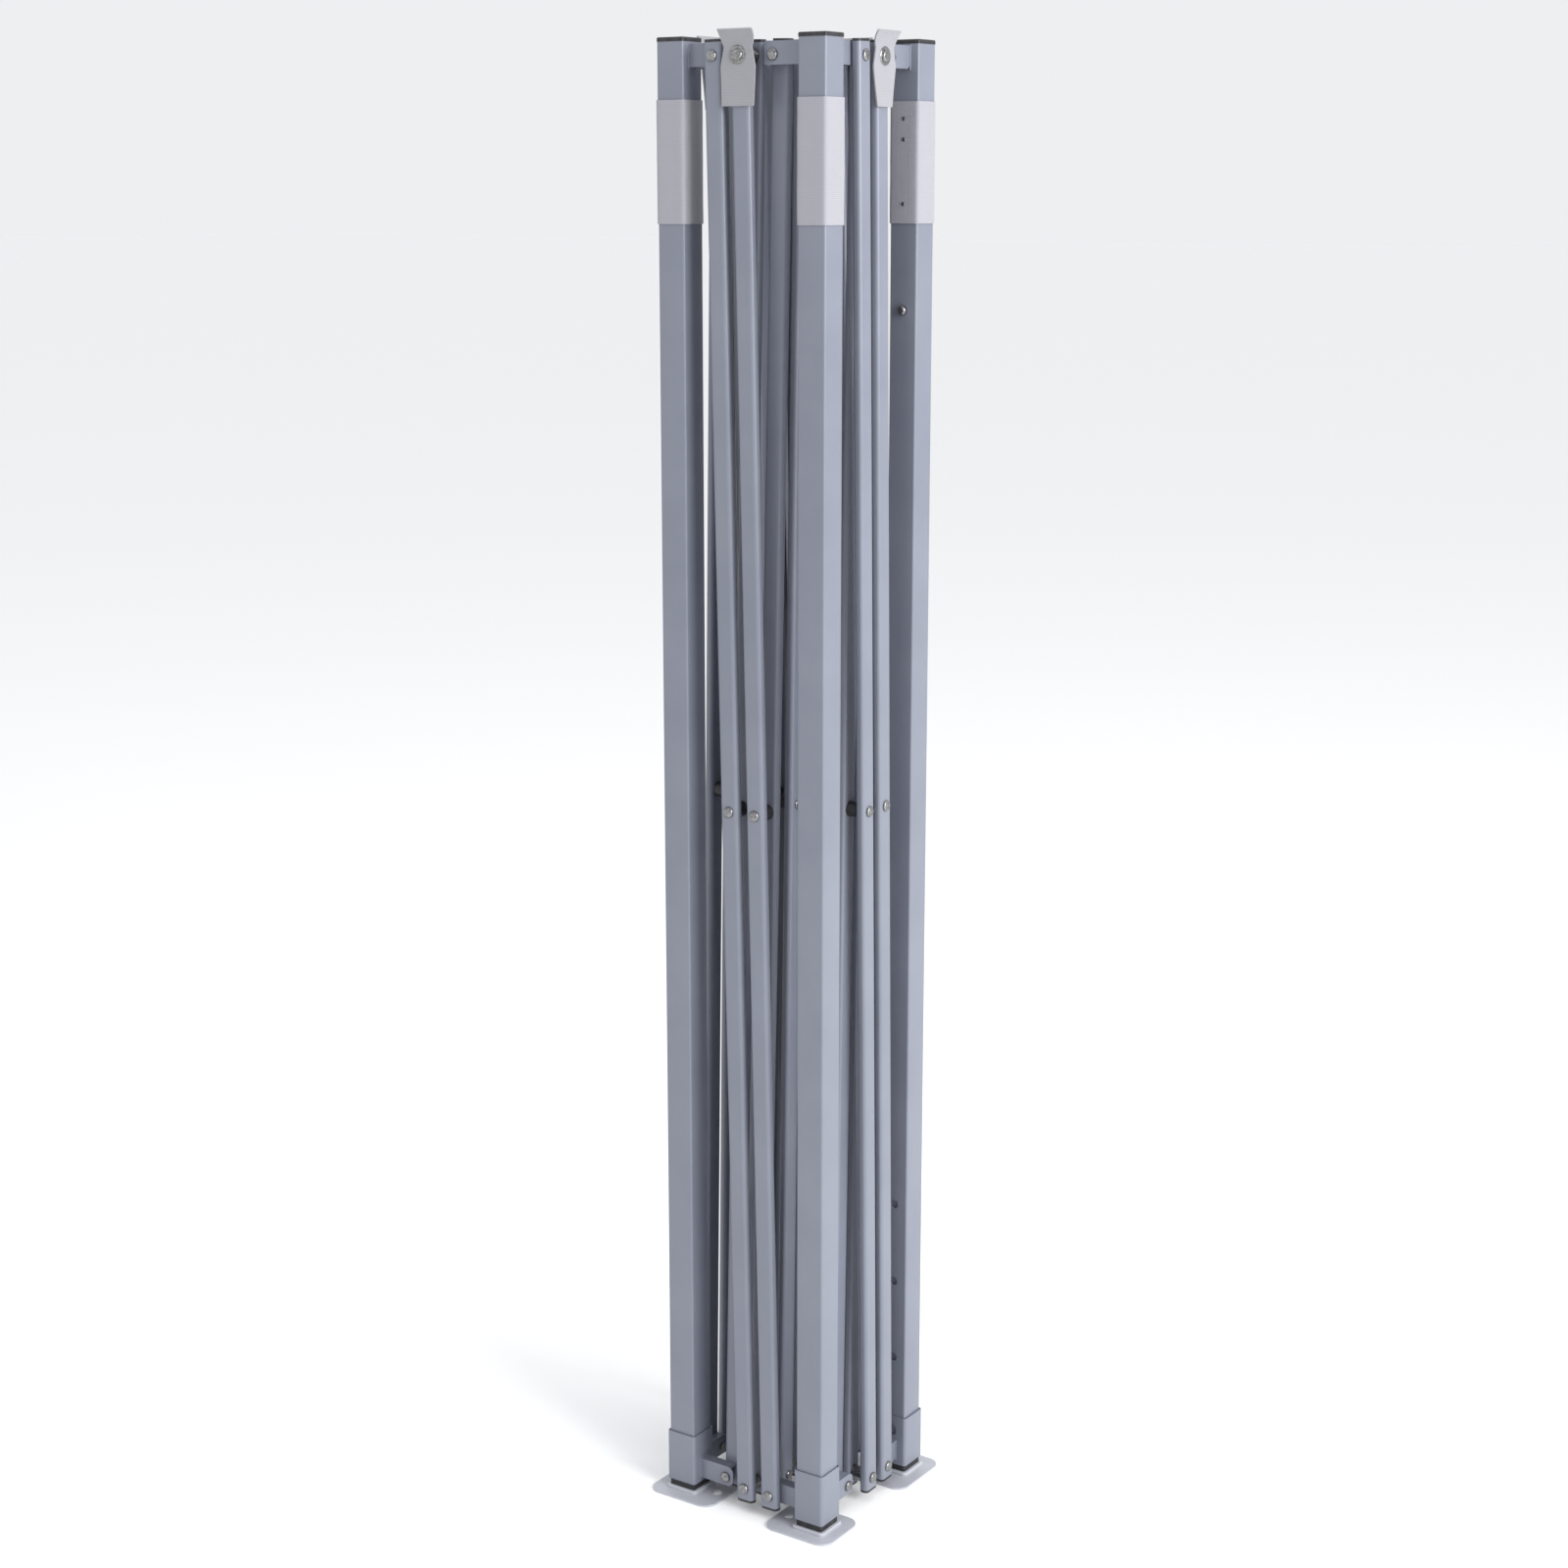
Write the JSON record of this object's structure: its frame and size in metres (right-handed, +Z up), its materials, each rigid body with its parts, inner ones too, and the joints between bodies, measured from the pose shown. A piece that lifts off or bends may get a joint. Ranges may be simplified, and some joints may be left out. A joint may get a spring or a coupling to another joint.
{
  "type": "pop up canopy frame",
  "caption": "Folding scissor-truss frame of a pop up canopy with telescoping square legs, sliders, centre mast and stake-hole feet, standing folded.",
  "frame": {"origin": "floor level under the centre of the folded bundle", "axes": "+Z up, -Y out of side 1, +X out of side 2"},
  "size_m": [0.221, 0.221, 1.456],
  "materials": {
    "frame_paint": "satin powder coat",
    "foot_steel": "satin",
    "zinc": "zinc plated",
    "plastic": "matte",
    "webbing": "matte"
  },
  "bodies": {
    "upper_hub": {"upper_hub": "zinc"},
    "lower_hub": {"lower_hub": "zinc", "mast": "frame_paint", "mast_cap": "plastic"},
    "cross_1_upper_bar": {"cross_1_upper_bar": "frame_paint"},
    "cross_1_lower_bar": {"cross_1_lower_bar": "frame_paint"},
    "bottom_joint_1": {"bottom_bracket_1": "zinc"},
    "top_joint_1": {"top_bracket_1": "zinc", "roof_tab_1": "webbing"},
    "side_1_outer_bar_a": {"side_1_outer_bar_a": "frame_paint"},
    "side_1_inner_bar_a": {"side_1_inner_bar_a": "frame_paint"},
    "side_1_outer_bar_b": {"side_1_outer_bar_b": "frame_paint"},
    "side_1_inner_bar_b": {"side_1_inner_bar_b": "frame_paint"},
    "leg_1": {"outer_leg_1": "frame_paint", "hook_band_1": "webbing"},
    "inner_leg_1": {"inner_leg_1": "foot_steel"},
    "slider_1": {"slider_1": "frame_paint"},
    "lock_button_1": {"lock_button_1": "zinc"},
    "cross_2_upper_bar": {"cross_2_upper_bar": "frame_paint"},
    "cross_2_lower_bar": {"cross_2_lower_bar": "frame_paint"},
    "bottom_joint_2": {"bottom_bracket_2": "zinc"},
    "top_joint_2": {"top_bracket_2": "zinc", "roof_tab_2": "webbing"},
    "side_2_outer_bar_a": {"side_2_outer_bar_a": "frame_paint"},
    "side_2_inner_bar_a": {"side_2_inner_bar_a": "frame_paint"},
    "side_2_outer_bar_b": {"side_2_outer_bar_b": "frame_paint"},
    "side_2_inner_bar_b": {"side_2_inner_bar_b": "frame_paint"},
    "leg_2": {"outer_leg_2": "frame_paint", "hook_band_2": "webbing"},
    "inner_leg_2": {"inner_leg_2": "foot_steel"},
    "slider_2": {"slider_2": "frame_paint"},
    "lock_button_2": {"lock_button_2": "zinc"},
    "cross_3_upper_bar": {"cross_3_upper_bar": "frame_paint"},
    "cross_3_lower_bar": {"cross_3_lower_bar": "frame_paint"},
    "bottom_joint_3": {"bottom_bracket_3": "zinc"},
    "top_joint_3": {"top_bracket_3": "zinc", "roof_tab_3": "webbing"},
    "side_3_outer_bar_a": {"side_3_outer_bar_a": "frame_paint"},
    "side_3_inner_bar_a": {"side_3_inner_bar_a": "frame_paint"},
    "side_3_outer_bar_b": {"side_3_outer_bar_b": "frame_paint"},
    "side_3_inner_bar_b": {"side_3_inner_bar_b": "frame_paint"},
    "leg_3": {"outer_leg_3": "frame_paint", "hook_band_3": "webbing"},
    "inner_leg_3": {"inner_leg_3": "foot_steel"},
    "slider_3": {"slider_3": "frame_paint"},
    "lock_button_3": {"lock_button_3": "zinc"},
    "cross_4_upper_bar": {"cross_4_upper_bar": "frame_paint"},
    "cross_4_lower_bar": {"cross_4_lower_bar": "frame_paint"},
    "bottom_joint_4": {"bottom_bracket_4": "zinc"},
    "top_joint_4": {"top_bracket_4": "zinc", "roof_tab_4": "webbing"},
    "side_4_outer_bar_a": {"side_4_outer_bar_a": "frame_paint"},
    "side_4_inner_bar_a": {"side_4_inner_bar_a": "frame_paint"},
    "side_4_outer_bar_b": {"side_4_outer_bar_b": "frame_paint"},
    "side_4_inner_bar_b": {"side_4_inner_bar_b": "frame_paint"},
    "leg_4": {"outer_leg_4": "frame_paint", "hook_band_4": "webbing"},
    "inner_leg_4": {"inner_leg_4": "foot_steel"},
    "slider_4": {"slider_4": "frame_paint"},
    "lock_button_4": {"lock_button_4": "zinc"}
  },
  "joints": [
    {"name": "fold", "type": "hinge", "parent": "upper_hub", "child": "cross_1_upper_bar", "pos_m": [0.015, -0.0135, 1.433], "axis": [-1, 0, 0], "range_deg": [0, 78.34]},
    {"name": "bottom_joint_1_turn", "type": "hinge", "parent": "cross_1_upper_bar", "child": "bottom_joint_1", "pos_m": [0.015, -0.0435, 0.026], "axis": [-1, 0, 0], "range_deg": [-79.34, 0]},
    {"name": "cross_1_scissor", "type": "hinge", "parent": "cross_1_upper_bar", "child": "cross_1_lower_bar", "pos_m": [0, -0.0285, 0.7295], "axis": [-1, 0, 0], "range_deg": [-157.68, 0]},
    {"name": "top_joint_1_turn", "type": "hinge", "parent": "cross_1_lower_bar", "child": "top_joint_1", "pos_m": [-0.015, -0.0435, 1.433], "axis": [-1, 0, 0], "range_deg": [0, 79.34]},
    {"name": "lower_hub_turn", "type": "hinge", "parent": "cross_1_lower_bar", "child": "lower_hub", "pos_m": [-0.015, -0.0135, 0.026], "axis": [-1, 0, 0], "range_deg": [0, 79.34]},
    {"name": "side_1_outer_a_swing", "type": "hinge", "parent": "bottom_joint_1", "child": "side_1_outer_bar_a", "pos_m": [0, -0.07851, 0.026], "axis": [0, -1, 0], "range_deg": [0, 79.34]},
    {"name": "side_1_inner_b_swing", "type": "hinge", "parent": "bottom_joint_1", "child": "side_1_inner_bar_b", "pos_m": [0, -0.07851, 0.026], "axis": [0, -1, 0], "range_deg": [-79.34, 0]},
    {"name": "side_1_scissor_a", "type": "hinge", "parent": "side_1_outer_bar_a", "child": "side_1_inner_bar_a", "pos_m": [-0.015, -0.07851, 0.7295], "axis": [0, -1, 0], "range_deg": [-157.68, 0]},
    {"name": "side_1_scissor_b", "type": "hinge", "parent": "side_1_inner_bar_b", "child": "side_1_outer_bar_b", "pos_m": [0.015, -0.07851, 0.7295], "axis": [0, -1, 0], "range_deg": [0, 157.68]},
    {"name": "leg_1_turn", "type": "hinge", "parent": "side_1_outer_bar_a", "child": "leg_1", "pos_m": [-0.03, -0.07851, 1.433], "axis": [0, -1, 0], "range_deg": [-79.34, 0]},
    {"name": "slider_1_turn", "type": "hinge", "parent": "side_1_inner_bar_a", "child": "slider_1", "pos_m": [-0.03, -0.07851, 0.026], "axis": [0, -1, 0], "range_deg": [0, 79.34]},
    {"name": "leg_1_extend", "type": "slide", "parent": "leg_1", "child": "inner_leg_1", "axis": [0, 0, -1], "range_m": [0, 0.6]},
    {"name": "lock_button_1_press", "type": "slide", "parent": "leg_1", "child": "lock_button_1", "axis": [0, -1, 0], "range_m": [0, 0.005], "stiffness_N_per_m": 400},
    {"name": "cross_2_upper_swing", "type": "hinge", "parent": "upper_hub", "child": "cross_2_upper_bar", "pos_m": [0.0135, 0.015, 1.433], "axis": [0, -1, 0], "range_deg": [0, 79.34]},
    {"name": "bottom_joint_2_turn", "type": "hinge", "parent": "cross_2_upper_bar", "child": "bottom_joint_2", "pos_m": [0.0435, 0.015, 0.026], "axis": [0, -1, 0], "range_deg": [-79.34, 0]},
    {"name": "cross_2_scissor", "type": "hinge", "parent": "cross_2_upper_bar", "child": "cross_2_lower_bar", "pos_m": [0.0285, 0, 0.7295], "axis": [0, -1, 0], "range_deg": [-157.68, 0]},
    {"name": "top_joint_2_turn", "type": "hinge", "parent": "cross_2_lower_bar", "child": "top_joint_2", "pos_m": [0.0435, -0.015, 1.433], "axis": [0, -1, 0], "range_deg": [0, 79.34]},
    {"name": "side_2_outer_a_swing", "type": "hinge", "parent": "bottom_joint_2", "child": "side_2_outer_bar_a", "pos_m": [0.07851, 0, 0.026], "axis": [1, 0, 0], "range_deg": [0, 79.34]},
    {"name": "side_2_inner_b_swing", "type": "hinge", "parent": "bottom_joint_2", "child": "side_2_inner_bar_b", "pos_m": [0.07851, 0, 0.026], "axis": [1, 0, 0], "range_deg": [-79.34, 0]},
    {"name": "side_2_scissor_a", "type": "hinge", "parent": "side_2_outer_bar_a", "child": "side_2_inner_bar_a", "pos_m": [0.07851, -0.015, 0.7295], "axis": [1, 0, 0], "range_deg": [-157.68, 0]},
    {"name": "side_2_scissor_b", "type": "hinge", "parent": "side_2_inner_bar_b", "child": "side_2_outer_bar_b", "pos_m": [0.07851, 0.015, 0.7295], "axis": [1, 0, 0], "range_deg": [0, 157.68]},
    {"name": "leg_2_turn", "type": "hinge", "parent": "side_2_outer_bar_a", "child": "leg_2", "pos_m": [0.07851, -0.03, 1.433], "axis": [1, 0, 0], "range_deg": [-79.34, 0]},
    {"name": "slider_2_turn", "type": "hinge", "parent": "side_2_inner_bar_a", "child": "slider_2", "pos_m": [0.07851, -0.03, 0.026], "axis": [1, 0, 0], "range_deg": [0, 79.34]},
    {"name": "leg_2_extend", "type": "slide", "parent": "leg_2", "child": "inner_leg_2", "axis": [0, 0, -1], "range_m": [0, 0.6]},
    {"name": "lock_button_2_press", "type": "slide", "parent": "leg_2", "child": "lock_button_2", "axis": [1, 0, 0], "range_m": [0, 0.005], "stiffness_N_per_m": 400},
    {"name": "cross_3_upper_swing", "type": "hinge", "parent": "upper_hub", "child": "cross_3_upper_bar", "pos_m": [-0.015, 0.0135, 1.433], "axis": [1, 0, 0], "range_deg": [0, 79.34]},
    {"name": "bottom_joint_3_turn", "type": "hinge", "parent": "cross_3_upper_bar", "child": "bottom_joint_3", "pos_m": [-0.015, 0.0435, 0.026], "axis": [1, 0, 0], "range_deg": [-79.34, 0]},
    {"name": "cross_3_scissor", "type": "hinge", "parent": "cross_3_upper_bar", "child": "cross_3_lower_bar", "pos_m": [0, 0.0285, 0.7295], "axis": [1, 0, 0], "range_deg": [-157.68, 0]},
    {"name": "top_joint_3_turn", "type": "hinge", "parent": "cross_3_lower_bar", "child": "top_joint_3", "pos_m": [0.015, 0.0435, 1.433], "axis": [1, 0, 0], "range_deg": [0, 79.34]},
    {"name": "side_3_outer_a_swing", "type": "hinge", "parent": "bottom_joint_3", "child": "side_3_outer_bar_a", "pos_m": [0, 0.07851, 0.026], "axis": [0, 1, 0], "range_deg": [0, 79.34]},
    {"name": "side_3_inner_b_swing", "type": "hinge", "parent": "bottom_joint_3", "child": "side_3_inner_bar_b", "pos_m": [0, 0.07851, 0.026], "axis": [0, 1, 0], "range_deg": [-79.34, 0]},
    {"name": "side_3_scissor_a", "type": "hinge", "parent": "side_3_outer_bar_a", "child": "side_3_inner_bar_a", "pos_m": [0.015, 0.07851, 0.7295], "axis": [0, 1, 0], "range_deg": [-157.68, 0]},
    {"name": "side_3_scissor_b", "type": "hinge", "parent": "side_3_inner_bar_b", "child": "side_3_outer_bar_b", "pos_m": [-0.015, 0.07851, 0.7295], "axis": [0, 1, 0], "range_deg": [0, 157.68]},
    {"name": "leg_3_turn", "type": "hinge", "parent": "side_3_outer_bar_a", "child": "leg_3", "pos_m": [0.03, 0.07851, 1.433], "axis": [0, 1, 0], "range_deg": [-79.34, 0]},
    {"name": "slider_3_turn", "type": "hinge", "parent": "side_3_inner_bar_a", "child": "slider_3", "pos_m": [0.03, 0.07851, 0.026], "axis": [0, 1, 0], "range_deg": [0, 79.34]},
    {"name": "leg_3_extend", "type": "slide", "parent": "leg_3", "child": "inner_leg_3", "axis": [0, 0, -1], "range_m": [0, 0.6]},
    {"name": "lock_button_3_press", "type": "slide", "parent": "leg_3", "child": "lock_button_3", "axis": [0, 1, 0], "range_m": [0, 0.005], "stiffness_N_per_m": 400},
    {"name": "cross_4_upper_swing", "type": "hinge", "parent": "upper_hub", "child": "cross_4_upper_bar", "pos_m": [-0.0135, -0.015, 1.433], "axis": [0, 1, 0], "range_deg": [0, 79.34]},
    {"name": "bottom_joint_4_turn", "type": "hinge", "parent": "cross_4_upper_bar", "child": "bottom_joint_4", "pos_m": [-0.0435, -0.015, 0.026], "axis": [0, 1, 0], "range_deg": [-79.34, 0]},
    {"name": "cross_4_scissor", "type": "hinge", "parent": "cross_4_upper_bar", "child": "cross_4_lower_bar", "pos_m": [-0.0285, 0, 0.7295], "axis": [0, 1, 0], "range_deg": [-157.68, 0]},
    {"name": "top_joint_4_turn", "type": "hinge", "parent": "cross_4_lower_bar", "child": "top_joint_4", "pos_m": [-0.0435, 0.015, 1.433], "axis": [0, 1, 0], "range_deg": [0, 79.34]},
    {"name": "side_4_outer_a_swing", "type": "hinge", "parent": "bottom_joint_4", "child": "side_4_outer_bar_a", "pos_m": [-0.07851, 0, 0.026], "axis": [-1, 0, 0], "range_deg": [0, 79.34]},
    {"name": "side_4_inner_b_swing", "type": "hinge", "parent": "bottom_joint_4", "child": "side_4_inner_bar_b", "pos_m": [-0.07851, 0, 0.026], "axis": [-1, 0, 0], "range_deg": [-79.34, 0]},
    {"name": "side_4_scissor_a", "type": "hinge", "parent": "side_4_outer_bar_a", "child": "side_4_inner_bar_a", "pos_m": [-0.07851, 0.015, 0.7295], "axis": [-1, 0, 0], "range_deg": [-157.68, 0]},
    {"name": "side_4_scissor_b", "type": "hinge", "parent": "side_4_inner_bar_b", "child": "side_4_outer_bar_b", "pos_m": [-0.07851, -0.015, 0.7295], "axis": [-1, 0, 0], "range_deg": [0, 157.68]},
    {"name": "leg_4_turn", "type": "hinge", "parent": "side_4_outer_bar_a", "child": "leg_4", "pos_m": [-0.07851, 0.03, 1.433], "axis": [-1, 0, 0], "range_deg": [-79.34, 0]},
    {"name": "slider_4_turn", "type": "hinge", "parent": "side_4_inner_bar_a", "child": "slider_4", "pos_m": [-0.07851, 0.03, 0.026], "axis": [-1, 0, 0], "range_deg": [0, 79.34]},
    {"name": "leg_4_extend", "type": "slide", "parent": "leg_4", "child": "inner_leg_4", "axis": [0, 0, -1], "range_m": [0, 0.6]},
    {"name": "lock_button_4_press", "type": "slide", "parent": "leg_4", "child": "lock_button_4", "axis": [-1, 0, 0], "range_m": [0, 0.005], "stiffness_N_per_m": 400}
  ],
  "couplings": [
    {"joint": "bottom_joint_1_turn", "follows": "fold", "ratio": -1},
    {"joint": "cross_1_scissor", "follows": "fold", "ratio": -2},
    {"joint": "top_joint_1_turn", "follows": "fold", "ratio": 1},
    {"joint": "lower_hub_turn", "follows": "fold", "ratio": 1},
    {"joint": "side_1_outer_a_swing", "follows": "fold", "ratio": 1},
    {"joint": "side_1_inner_b_swing", "follows": "fold", "ratio": -1},
    {"joint": "side_1_scissor_a", "follows": "fold", "ratio": -2},
    {"joint": "side_1_scissor_b", "follows": "fold", "ratio": 2},
    {"joint": "leg_1_turn", "follows": "fold", "ratio": -1},
    {"joint": "slider_1_turn", "follows": "fold", "ratio": 1},
    {"joint": "cross_2_upper_swing", "follows": "fold", "ratio": 1},
    {"joint": "bottom_joint_2_turn", "follows": "fold", "ratio": -1},
    {"joint": "cross_2_scissor", "follows": "fold", "ratio": -2},
    {"joint": "top_joint_2_turn", "follows": "fold", "ratio": 1},
    {"joint": "side_2_outer_a_swing", "follows": "fold", "ratio": 1},
    {"joint": "side_2_inner_b_swing", "follows": "fold", "ratio": -1},
    {"joint": "side_2_scissor_a", "follows": "fold", "ratio": -2},
    {"joint": "side_2_scissor_b", "follows": "fold", "ratio": 2},
    {"joint": "leg_2_turn", "follows": "fold", "ratio": -1},
    {"joint": "slider_2_turn", "follows": "fold", "ratio": 1},
    {"joint": "cross_3_upper_swing", "follows": "fold", "ratio": 1},
    {"joint": "bottom_joint_3_turn", "follows": "fold", "ratio": -1},
    {"joint": "cross_3_scissor", "follows": "fold", "ratio": -2},
    {"joint": "top_joint_3_turn", "follows": "fold", "ratio": 1},
    {"joint": "side_3_outer_a_swing", "follows": "fold", "ratio": 1},
    {"joint": "side_3_inner_b_swing", "follows": "fold", "ratio": -1},
    {"joint": "side_3_scissor_a", "follows": "fold", "ratio": -2},
    {"joint": "side_3_scissor_b", "follows": "fold", "ratio": 2},
    {"joint": "leg_3_turn", "follows": "fold", "ratio": -1},
    {"joint": "slider_3_turn", "follows": "fold", "ratio": 1},
    {"joint": "cross_4_upper_swing", "follows": "fold", "ratio": 1},
    {"joint": "bottom_joint_4_turn", "follows": "fold", "ratio": -1},
    {"joint": "cross_4_scissor", "follows": "fold", "ratio": -2},
    {"joint": "top_joint_4_turn", "follows": "fold", "ratio": 1},
    {"joint": "side_4_outer_a_swing", "follows": "fold", "ratio": 1},
    {"joint": "side_4_inner_b_swing", "follows": "fold", "ratio": -1},
    {"joint": "side_4_scissor_a", "follows": "fold", "ratio": -2},
    {"joint": "side_4_scissor_b", "follows": "fold", "ratio": 2},
    {"joint": "leg_4_turn", "follows": "fold", "ratio": -1},
    {"joint": "slider_4_turn", "follows": "fold", "ratio": 1}
  ]
}
